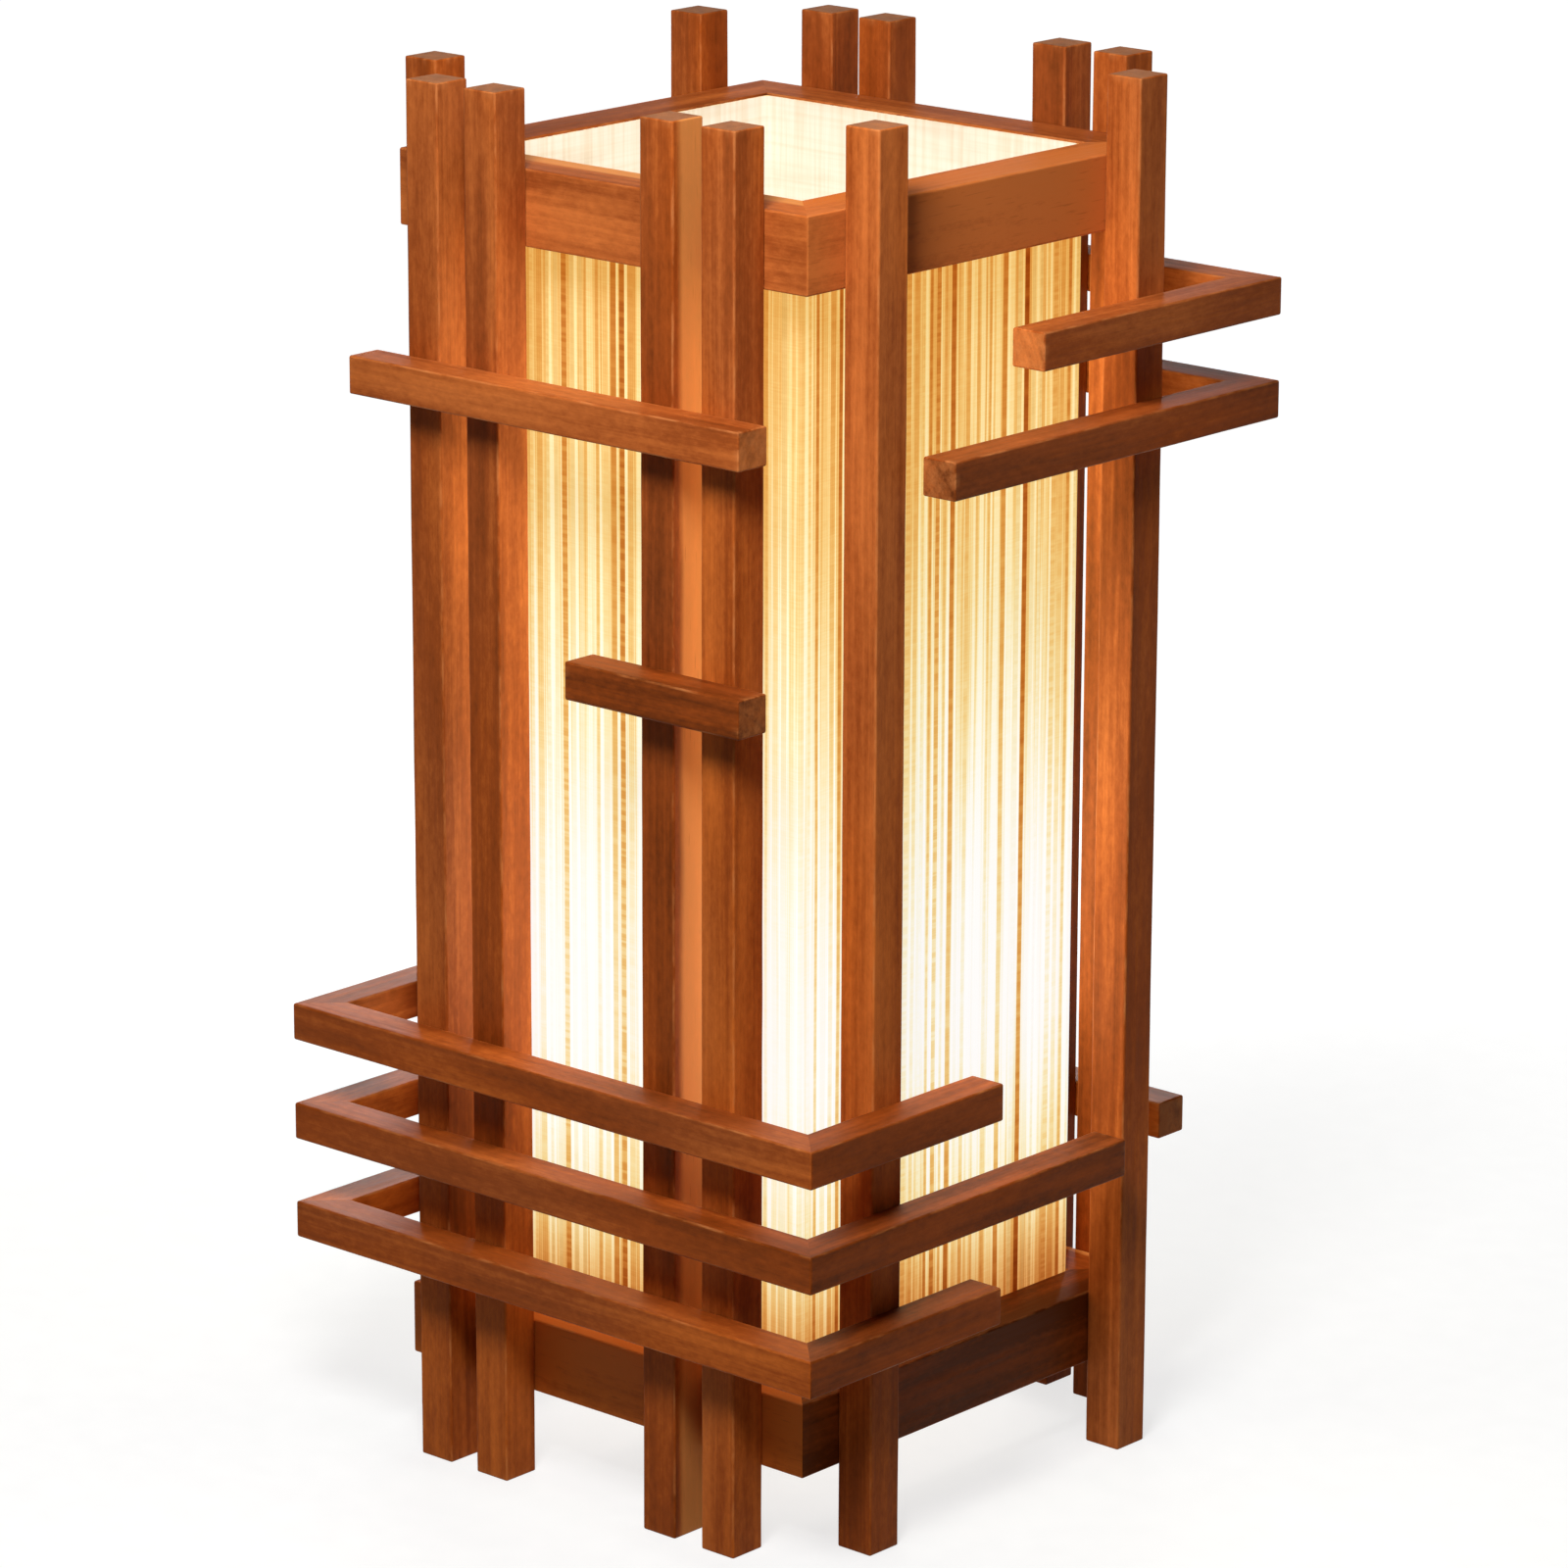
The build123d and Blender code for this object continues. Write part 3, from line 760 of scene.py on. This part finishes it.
def fitting(name, colour, marked, roughness, metallic=0.0, relief=0.1):
    """A finish of two mottled tones with fine scratches or moulding texture."""
    shader = Shader(name)
    place = shader.node("ShaderNodeTexCoord").outputs["Object"]
    cloud = shader.noise(place, scale=90, detail=3, roughness=0.6)
    fine = shader.noise(place, scale=1400, detail=3, roughness=0.7)
    scratch = shader.moved(shader.scaled(place, 1, 1, 6), (3, 1, 2))
    scratch = shader.noise(scratch, scale=600, detail=2, distortion=1.5)
    amount = shader.spread(shader.times_plus(fine, 0.4, cloud), (0.5, 0.95), smooth=True)
    rough = shader.times_plus(scratch, 0.5, amount)
    shader.set(Base_Color=shader.mix(amount, linear(*colour), linear(*marked)), Metallic=metallic,
               Roughness=shader.spread(rough, (0.2, 1.1), roughness))
    shader.bump(shader.times_plus(scratch, 0.5, fine), strength=relief, distance=0.05 * MM)
    return shader.made


def planed_wood(name, pale, dark, stretch, fleck=0.0):
    """Bare planed wood. The stretch is 1 across the grain and less along it."""
    shader = Shader(name)
    place = shader.scaled(shader.node("ShaderNodeTexCoord").outputs["Object"], *stretch)
    cloud = shader.noise(place, scale=40, detail=2)
    rings = shader.noise(shader.scaled(place, 1, 1, 0.15), scale=420, detail=2, roughness=0.6)
    fibre = shader.noise(place, scale=1500, detail=3, roughness=0.65)
    tone = shader.times_plus(cloud, 0.3, shader.times(rings, 0.5))
    tone = shader.times_plus(fibre, 0.3, tone)
    pale, dark = linear(*pale), linear(*dark)
    spots = shader.spread(shader.noise(place, scale=900, detail=1), (0.62, 0.7), (0.0, fleck))
    shader.set(Base_Color=shader.mix(spots, shader.ramp(tone, (0.42, pale), (0.72, dark)), dark),
               Specular_IOR_Level=0.3, Roughness=shader.spread(fibre, NOISE_RANGE, (0.6, 0.75)))
    shader.bump(shader.times_plus(rings, 0.4, fibre), strength=0.4, distance=0.1 * MM)
    return shader.made


ZINC = fitting("zinc_plated_steel", (190, 192, 194), (150, 152, 156), (0.28, 0.5), metallic=1.0)
MOULDED = fitting("black_moulding", (26, 25, 25), (40, 38, 37), (0.36, 0.55), relief=0.15)
CERAMIC = fitting("glazed_ceramic", (232, 228, 216), (214, 206, 190), (0.12, 0.3), relief=0.05)
BRASS = fitting("drawn_brass", (206, 168, 98), (160, 118, 62), (0.26, 0.48), metallic=1.0)
CAP_METAL = fitting("satin_aluminium", (196, 194, 190), (164, 160, 156), (0.3, 0.48), metallic=1.0)
VITRITE = fitting("black_vitrite", (16, 13, 20), (34, 28, 38), (0.08, 0.3), relief=0.05)
SOLDER = fitting("tinned_solder", (176, 176, 172), (120, 120, 118), (0.4, 0.7), metallic=1.0, relief=0.3)

paint("base_rail", planed_wood("planed_softwood", (214, 178, 128), (170, 122, 72), (1, 0.05, 1)))
paint("rail_cleats", planed_wood("planed_softwood_cleats", (218, 184, 136), (176, 128, 78), (0.05, 1, 1)))
paint("loose_tenons", planed_wood("planed_beech", (214, 176, 132), (182, 132, 88), (1, 1, 0.1), fleck=0.5))
paint("lampholder_insert", CERAMIC)

# -------- screws, stem, washers and nuts

SCREW_RADIUS = 1.75 * MM
SCREW_PITCH = 1.6 * MM
SCREW_THREAD = 0.5 * MM
SCREW_PLAIN = 3 * MM  # plain shank under the head
SCREW_STEP = 0.25 * MM
SCREW_POINT = 4 * MM
HEAD_RADIUS = 3.5 * MM
HEAD_RIM = 0.25 * MM
HEAD_DEPTH = HEAD_RADIUS - SCREW_RADIUS
RECESS_RADIUS = 2.0 * MM
RECESS_WIDTH = 0.5 * MM
RECESS_DEPTH = 1.3 * MM
RECESS_TAPER = 0.6  # share of the depth lost at the rim

screw_low, screw_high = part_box("rail_screws")
screw_bottom, screw_top = screw_low.z, screw_high.z
neck = screw_top - HEAD_DEPTH
screw_profile = (
    rows((0, screw_bottom), (SCREW_RADIUS, screw_bottom + SCREW_POINT), SCREW_STEP)
    + rows((SCREW_RADIUS, screw_bottom + SCREW_POINT), (SCREW_RADIUS, neck), SCREW_STEP)[1:]
    + [(HEAD_RADIUS, screw_top - HEAD_RIM), (HEAD_RADIUS - HEAD_RIM / 2, screw_top)]
    + rows((RECESS_RADIUS * 1.2, screw_top), (0, screw_top), pitch=0.08 * MM)
)
cut_thread = thread(SCREW_THREAD, SCREW_PITCH, screw_bottom, neck - SCREW_PLAIN, reach=0.2 * MM)


def screw_shape(radius, height, angle):
    """The thread of the shank, and the tapered cross in the head."""
    if height < screw_top or radius >= RECESS_RADIUS:
        return cut_thread(radius, height, angle)
    off = radius * min(abs(math.sin(angle)), abs(math.cos(angle)))
    if off > RECESS_WIDTH:
        return radius, height
    return radius, height - RECESS_DEPTH * (1 - RECESS_TAPER * radius / RECESS_RADIUS)


screw_centres = [(x, y) for x in (screw_low.x + HEAD_RADIUS, screw_high.x - HEAD_RADIUS)
                 for y in (screw_low.y + HEAD_RADIUS, screw_high.y - HEAD_RADIUS)]
turned("countersunk_screws", "rail_screws", [screw_profile], ZINC, screw_centres, segments=64,
       shape=screw_shape)

STEM_RADIUS = 5.0 * MM
STEM_BORE = 3.5 * MM
STEM_HOLE = 5.1 * MM
STEM_PITCH = 1.0 * MM
STEM_THREAD = 0.5 * MM
STEM_CHAMFER = 0.4 * MM

stem_low, stem_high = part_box("stem_tube")
stem_profile = (
    [(STEM_BORE, stem_low.z), (STEM_RADIUS - STEM_CHAMFER, stem_low.z)]
    + rows((STEM_RADIUS, stem_low.z + STEM_CHAMFER), (STEM_RADIUS, stem_high.z - STEM_CHAMFER),
           pitch=STEM_PITCH / 6)
    + [(STEM_RADIUS - STEM_CHAMFER, stem_high.z), (STEM_BORE, stem_high.z)]
)
turned("threaded_stem", "stem_tube", [stem_profile], ZINC, segments=40,
       shape=thread(STEM_THREAD, STEM_PITCH, stem_low.z, stem_high.z, reach=STEM_BORE + 1 * MM))

WASHER_RADIUS = 10 * MM
WASHER_THICKNESS = 1.0 * MM
NUT_APOTHEM = 7.0 * MM
NUT_THICKNESS = 5.0 * MM
NUT_FACE = 6.7 * MM  # radius of the flat that the corners' chamfer leaves
NUT_SLOPE = 1.8  # how steeply that chamfer falls
NUT_CHAMFER = 0.4 * MM  # at the ends of the bore
NUT_EDGE = 0.05 * MM


def washer_profile(low):
    return eased([(STEM_HOLE, low), (WASHER_RADIUS, low), (WASHER_RADIUS, low + WASHER_THICKNESS),
                  (STEM_HOLE, low + WASHER_THICKNESS)], radius=0.25 * MM)


def nut_profile(low):
    high = low + NUT_THICKNESS
    return ([(STEM_HOLE, low + NUT_CHAMFER), (STEM_HOLE + NUT_CHAMFER, low), (NUT_FACE, low)]
            + rows((NUT_APOTHEM, low + NUT_EDGE), (NUT_APOTHEM, high - NUT_EDGE), pitch=0.2 * MM)
            + [(NUT_FACE, high), (STEM_HOLE + NUT_CHAMFER, high), (STEM_HOLE, high - NUT_CHAMFER)])


washers_low, washers_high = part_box("stem_washers")
nuts_low, nuts_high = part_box("stem_nuts")
nut_lows = nuts_low.z, nuts_high.z - NUT_THICKNESS


def hexagon(radius, height, angle):
    """The nuts' six flats, with the corners' chamfer at both faces."""
    if radius < NUT_APOTHEM:
        return radius, height
    low = nut_lows[0] if height < nut_lows[1] else nut_lows[1]
    depth = min(height - low, low + NUT_THICKNESS - height)
    flat = NUT_APOTHEM / math.cos(angle % math.radians(60) - math.radians(30))
    return min(flat, NUT_FACE + NUT_SLOPE * depth), height


turned("plain_washers", "stem_washers",
       [washer_profile(low) for low in (washers_low.z, washers_high.z - WASHER_THICKNESS)], ZINC)
turned("hexagon_nuts", "stem_nuts", [nut_profile(low) for low in nut_lows], ZINC, segments=72,
       shape=hexagon)

# -------- lampholder

HOLDER_RADIUS = 19.5 * MM
HOLDER_BORE = 17.5 * MM
HOLDER_NECK = 9 * MM
NECK_HEIGHT = 2 * MM  # this and the next three are over the cap's foot
CAVITY_FLOOR = 9 * MM
RIM_LOW = 18 * MM
RIM_HIGH = 22 * MM
SPIGOT_RADIUS = 18.5 * MM
SPIGOT_FIT = 0.1 * MM
SPIGOT_DEPTH = 4.1 * MM
MOUTH_RADIUS = 14.7 * MM
MOUTH_HEIGHT = 3 * MM
MOUTH_SLOPE = 2 * MM
SKIRT_CHAMFER = 0.4 * MM
RIB_COUNT = 44
RIB_DEPTH = 0.4 * MM
RIB_MARGIN = 4 * MM
RIB_SKIN = 0.05 * MM  # only the wall this close to the outside is fluted

base_low, base_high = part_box("lampholder_base")
foot = base_low.z
cap_profile = eased([
    (HOLDER_RADIUS, foot + RIM_LOW), (HOLDER_RADIUS, foot + RIM_HIGH), (SPIGOT_RADIUS, foot + RIM_HIGH),
    (SPIGOT_RADIUS, base_high.z), (HOLDER_BORE, base_high.z), (HOLDER_BORE, foot + RIM_LOW),
    (STEM_HOLE, foot + CAVITY_FLOOR), (STEM_HOLE, foot), (HOLDER_NECK, foot),
    (HOLDER_NECK, foot + NECK_HEIGHT),
], radius=0.8 * MM)
turned("lampholder_cap", "lampholder_base", [cap_profile], MOULDED, segments=64)

sleeve_low, sleeve_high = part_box("lampholder_sleeve")
skirt_low, skirt_high = sleeve_low.z, sleeve_high.z
skirt_bore = SPIGOT_RADIUS + SPIGOT_FIT
lip = skirt_high - MOUTH_HEIGHT
skirt_profile = (
    eased([(skirt_bore, skirt_low), (HOLDER_RADIUS, skirt_low)], radius=0)
    + rows((HOLDER_RADIUS, skirt_low + SKIRT_CHAMFER), (HOLDER_RADIUS, lip), pitch=0.8 * MM)
    + eased([(HOLDER_RADIUS, lip), (SPIGOT_RADIUS, skirt_high), (MOUTH_RADIUS, skirt_high),
             (MOUTH_RADIUS, lip), (HOLDER_BORE, lip - MOUTH_SLOPE), (HOLDER_BORE, skirt_low + SPIGOT_DEPTH),
             (skirt_bore, skirt_low + SPIGOT_DEPTH)], radius=0.5 * MM)[1:]
)


def ribs(radius, height, angle):
    """Grip flutes moulded into the skirt."""
    if radius < HOLDER_RADIUS - RIB_SKIN or not skirt_low + RIB_MARGIN < height < lip - RIB_MARGIN:
        return radius, height
    fade = min(1, (height - skirt_low - RIB_MARGIN) / MM, (lip - RIB_MARGIN - height) / MM)
    return radius - RIB_DEPTH * fade * (1 + math.cos(RIB_COUNT * angle)) / 2, height


turned("lampholder_skirt", "lampholder_sleeve", [skirt_profile], MOULDED,
       segments=RIB_COUNT * 6, shape=ribs)

THREAD_PITCH = 3.62 * MM  # the round E27 thread
THREAD_STEP = 0.3 * MM
SHELL_RADIUS = 14.3 * MM
SHELL_WALL = 0.4 * MM
SHELL_THREAD = 0.6 * MM
SHELL_PLAIN = 1 * MM  # plain part at both ends


def tube(radius, wall, low, high):
    """Profile of a thin tube that can carry the E27 thread."""
    return (rows((radius, low), (radius, high), THREAD_STEP)
            + rows((radius - wall, high), (radius - wall, low), THREAD_STEP))


def solid(node, outline, top, ease):
    """Profile of a solid piece as high as its node: (radius, height) points, then its top's radius."""
    low, high = [corner.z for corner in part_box(node)]
    edge = eased([(radius, low + rise) for radius, rise in outline] + [(top, high)], ease)
    return [(0, low), *edge, (0, high)]


shell_low, shell_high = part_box("lampholder_screw_shell")
turned("threaded_shell", "lampholder_screw_shell",
       [tube(SHELL_RADIUS, SHELL_WALL, shell_low.z, shell_high.z)], BRASS, segments=64,
       shape=thread(SHELL_THREAD, THREAD_PITCH, shell_low.z + SHELL_PLAIN, shell_high.z - SHELL_PLAIN,
                    rolled=True))

contact_profile = solid("lampholder_contact", [(4.8 * MM, 0), (5.0 * MM, 0.3 * MM), (3.4 * MM, 0.5 * MM)],
                        top=2.0 * MM, ease=0.3 * MM)
turned("contact_tongue", "lampholder_contact", [contact_profile], BRASS)

# -------- bulb

CAP_RADIUS = 13.15 * MM
CAP_WALL = 0.4 * MM
CAP_FOOT_RADIUS = 10.5 * MM
CAP_FOOT = 2.5 * MM
CAP_COLLAR = 6.5 * MM  # plain part round the glass
CAP_THREAD = 1.0 * MM
GLOBE_RADIUS = 30 * MM
GLASS_WALL = 1.0 * MM
GLASS_NECK = 12.65 * MM
FLARE = math.radians(28)
WAIST_RADIUS = 30 * MM
CROWN_STEPS = 32
WAIST_STEPS = 8
BULB_GLOW = (9.0, 7.6, 5.6)
BULB_TINT = (0.5, 0.8, 1.3)
NECK_DEPTH = 2.4  # how far the light has fallen off at the neck
FROST_DEPTH = 0.2

cap_low, cap_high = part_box("bulb_cap")
shoulder = cap_low.z + CAP_FOOT
shell_profile = [(CAP_FOOT_RADIUS, cap_low.z), *tube(CAP_RADIUS, CAP_WALL, shoulder, cap_high.z),
                 (CAP_FOOT_RADIUS - CAP_WALL, cap_low.z)]
turned("threaded_cap", "bulb_cap", [shell_profile], CAP_METAL, segments=64, body="bulb",
       shape=thread(CAP_THREAD, THREAD_PITCH, shoulder, cap_high.z - CAP_COLLAR, rolled=True))

insulator_profile = solid("bulb_insulator", [(4.8 * MM, 0), (6.6 * MM, 1.6 * MM)],
                          top=10.1 * MM, ease=0.5 * MM)
turned("glass_insulator", "bulb_insulator", [insulator_profile], VITRITE, body="bulb")
tip_profile = solid("bulb_tip", [(2.6 * MM, 0.05 * MM), (4.6 * MM, 0.7 * MM)], top=4.8 * MM, ease=0.4 * MM)
turned("solder_tip", "bulb_tip", [tip_profile], SOLDER, body="bulb")

glass_low, glass_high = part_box("bulb_glass")


def envelope(inset, low):
    """Half profile of the bulb's glass from its crown down to its neck, drawn in by the inset."""
    radius = GLOBE_RADIUS - inset
    centre = glass_high.z - GLOBE_RADIUS
    neck_radius = GLASS_NECK - inset
    made = [Vector((0, centre + radius))]
    for step in range(1, CROWN_STEPS + 1):
        angle = (math.pi / 2 + FLARE) * step / CROWN_STEPS
        made.append(Vector((radius * math.sin(angle), centre + radius * math.cos(angle))))
    flank = made[-1]
    waist = Vector((neck_radius, flank.y - (flank.x - neck_radius) / math.tan(FLARE)))
    turn = (WAIST_RADIUS + inset) * math.tan(FLARE / 2)
    start, stop = waist + (flank - waist).normalized() * turn, waist - Vector((0, turn))
    for step in range(WAIST_STEPS + 1):
        share = step / WAIST_STEPS
        made.append(start.lerp(waist, share).lerp(waist.lerp(stop, share), share))
    return made + [Vector((neck_radius, low))]


def frosted_glass():
    """Frosted glass, lit: brightest in the upper globe, and dimmer and warmer towards the neck."""
    shader = Shader("frosted_glass")
    place = shader.node("ShaderNodeTexCoord").outputs["Object"]
    height = shader.split(place)[2]
    frost = shader.noise(place, scale=2500, detail=3, roughness=0.7)
    depth = shader.spread(height, (glass_low.z, glass_high.z - GLOBE_RADIUS), (NECK_DEPTH, 0.0), smooth=True)
    depth = shader.times_plus(frost, FROST_DEPTH, depth)
    light = filtered(shader, BULB_GLOW, (depth, BULB_TINT))
    shader.set(
        Base_Color=shader.mix(frost, linear(206, 204, 198), linear(186, 184, 178)),
        Roughness=shader.spread(frost, NOISE_RANGE, (0.35, 0.5)),
        Emission_Color=exposed(shader, light),
        Emission_Strength=1.0,
    )
    shader.bump(frost, strength=0.2, distance=0.05 * MM)
    return shader.made


turned("lit_globe", "bulb_glass",
       [envelope(0, glass_low.z) + envelope(GLASS_WALL, glass_low.z + GLASS_WALL)[::-1]], frosted_glass(),
       segments=72, body="bulb")

# -------- floor, lights and camera

FLOOR_SEEN = 0.72, 1.0  # the floor's own white beside the lamp and far from it
FLOOR_SEEN_REACH = 0.35, 1.5
FLOOR_STOPS = (0.3, linear(148, 148, 147)), (0.7, linear(154, 154, 153))
GLOW_LAMP_GAP = 1 * MM  # between the cloth and the lamps that stand for its light
GLOW_LAMP_MARGIN = 10 * MM


def plain_floor():
    """A pale floor that keeps the lamp's shadow and is otherwise seen as white."""
    shader = Shader("pale_floor")
    place = shader.node("ShaderNodeTexCoord").outputs["Object"]
    speckle = shader.noise(place, scale=60, detail=3)
    distance = shader.node("ShaderNodeVectorMath", {0: place}, operation="LENGTH").outputs["Value"]
    path = shader.node("ShaderNodeLightPath").outputs
    seen = shader.math("MAXIMUM", path["Is Camera Ray"], path["Is Glossy Ray"])
    seen = shader.math("MAXIMUM", seen, path["Is Transmission Ray"])
    white = shader.spread(distance, FLOOR_SEEN_REACH, FLOOR_SEEN, smooth=True)
    shader.set(
        Base_Color=shader.ramp(speckle, *FLOOR_STOPS),
        Roughness=0.9,
        Specular_IOR_Level=0.1,
        Emission_Color=(1, 1, 1, 1),
        Emission_Strength=shader.times(seen, white),
    )
    mesh = bmesh.new()
    bmesh.ops.create_grid(mesh, x_segments=2, y_segments=2, size=15)
    floor = finished("floor", mesh, shader.made)


def world(fill):
    """White where it is seen, and a soft pale fill on the object."""
    shader = Shader("studio", "worlds", "Background")
    path = shader.node("ShaderNodeLightPath").outputs
    seen = shader.math("MAXIMUM", path["Is Camera Ray"], path["Is Transmission Ray"])
    shader.set(Color=(1, 1, 1, 1), Strength=shader.spread(seen, (0.0, 1.0), (fill, 1.0)))
    bpy.context.scene.world = shader.made


def area_lamp(name, place, target, width, height, power, colour=(1, 1, 1)):
    """A rectangular lamp at a place, turned to its target."""
    light = bpy.data.lights.new(name, "AREA")
    light.shape = "RECTANGLE"
    light.size, light.size_y = width, height
    light.energy = power
    light.color = colour
    lamp = placed(name, light)
    lamp.location = place
    lamp.rotation_euler = (Vector(target) - Vector(place)).to_track_quat("-Z", "Y").to_euler()
    return lamp


def shade_light(bottom, top, power, colour):
    """What a band of the lit shade gives the timber: one lamp just outside each wall, unseen itself."""
    middle = (bottom + top) / 2
    for side, direction in ALONG.items():
        out = direction.cross(UP)
        lamp = area_lamp(f"glow_{side}", out * (FABRIC_HALF + GLOW_LAMP_GAP) + UP * middle, out + UP * middle,
                         2 * FABRIC_HALF - GLOW_LAMP_MARGIN, top - bottom, power, colour)
        lamp.visible_camera = False
        lamp.visible_glossy = False


plain_floor()
world(fill=0.08)
area_lamp("key", place=(0.47, -0.80, 1.20), target=(0, 0, 0.45), width=0.34, height=0.34, power=14.6)
area_lamp("top", place=(0.05, -0.10, 1.90), target=(0, 0, 0.40), width=0.5, height=0.5, power=5.6)
back = area_lamp("back", place=(-0.80, 0.85, 0.42), target=(0, 0, 0.33), width=0.7, height=0.6, power=7.0)
back.visible_camera = False
shade_light(bottom=190 * MM, top=340 * MM, power=0.2, colour=(0.94, 1.0, 0.8))
shade_light(bottom=340 * MM, top=575 * MM, power=0.27, colour=(0.95, 1.0, 0.66))

CAMERA_PLACE = Vector((2.0320, -2.2840, 1.1770))
CAMERA_TARGET = Vector((0.30969, -0.34682, 0.45156))
CAMERA_ROLL = math.radians(0.17)
camera_data = bpy.data.cameras.new("camera")
camera_data.sensor_width = 36  # millimetres, like the focal length
camera_data.lens = 154.36
camera = placed("camera", camera_data)
camera.location = CAMERA_PLACE
camera.rotation_mode = "QUATERNION"
look = (CAMERA_TARGET - CAMERA_PLACE).to_track_quat("-Z", "Y")
camera.rotation_quaternion = look @ Quaternion((0, 0, 1), CAMERA_ROLL)
bpy.context.scene.camera = camera
bpy.context.scene.view_settings.view_transform = "Standard"
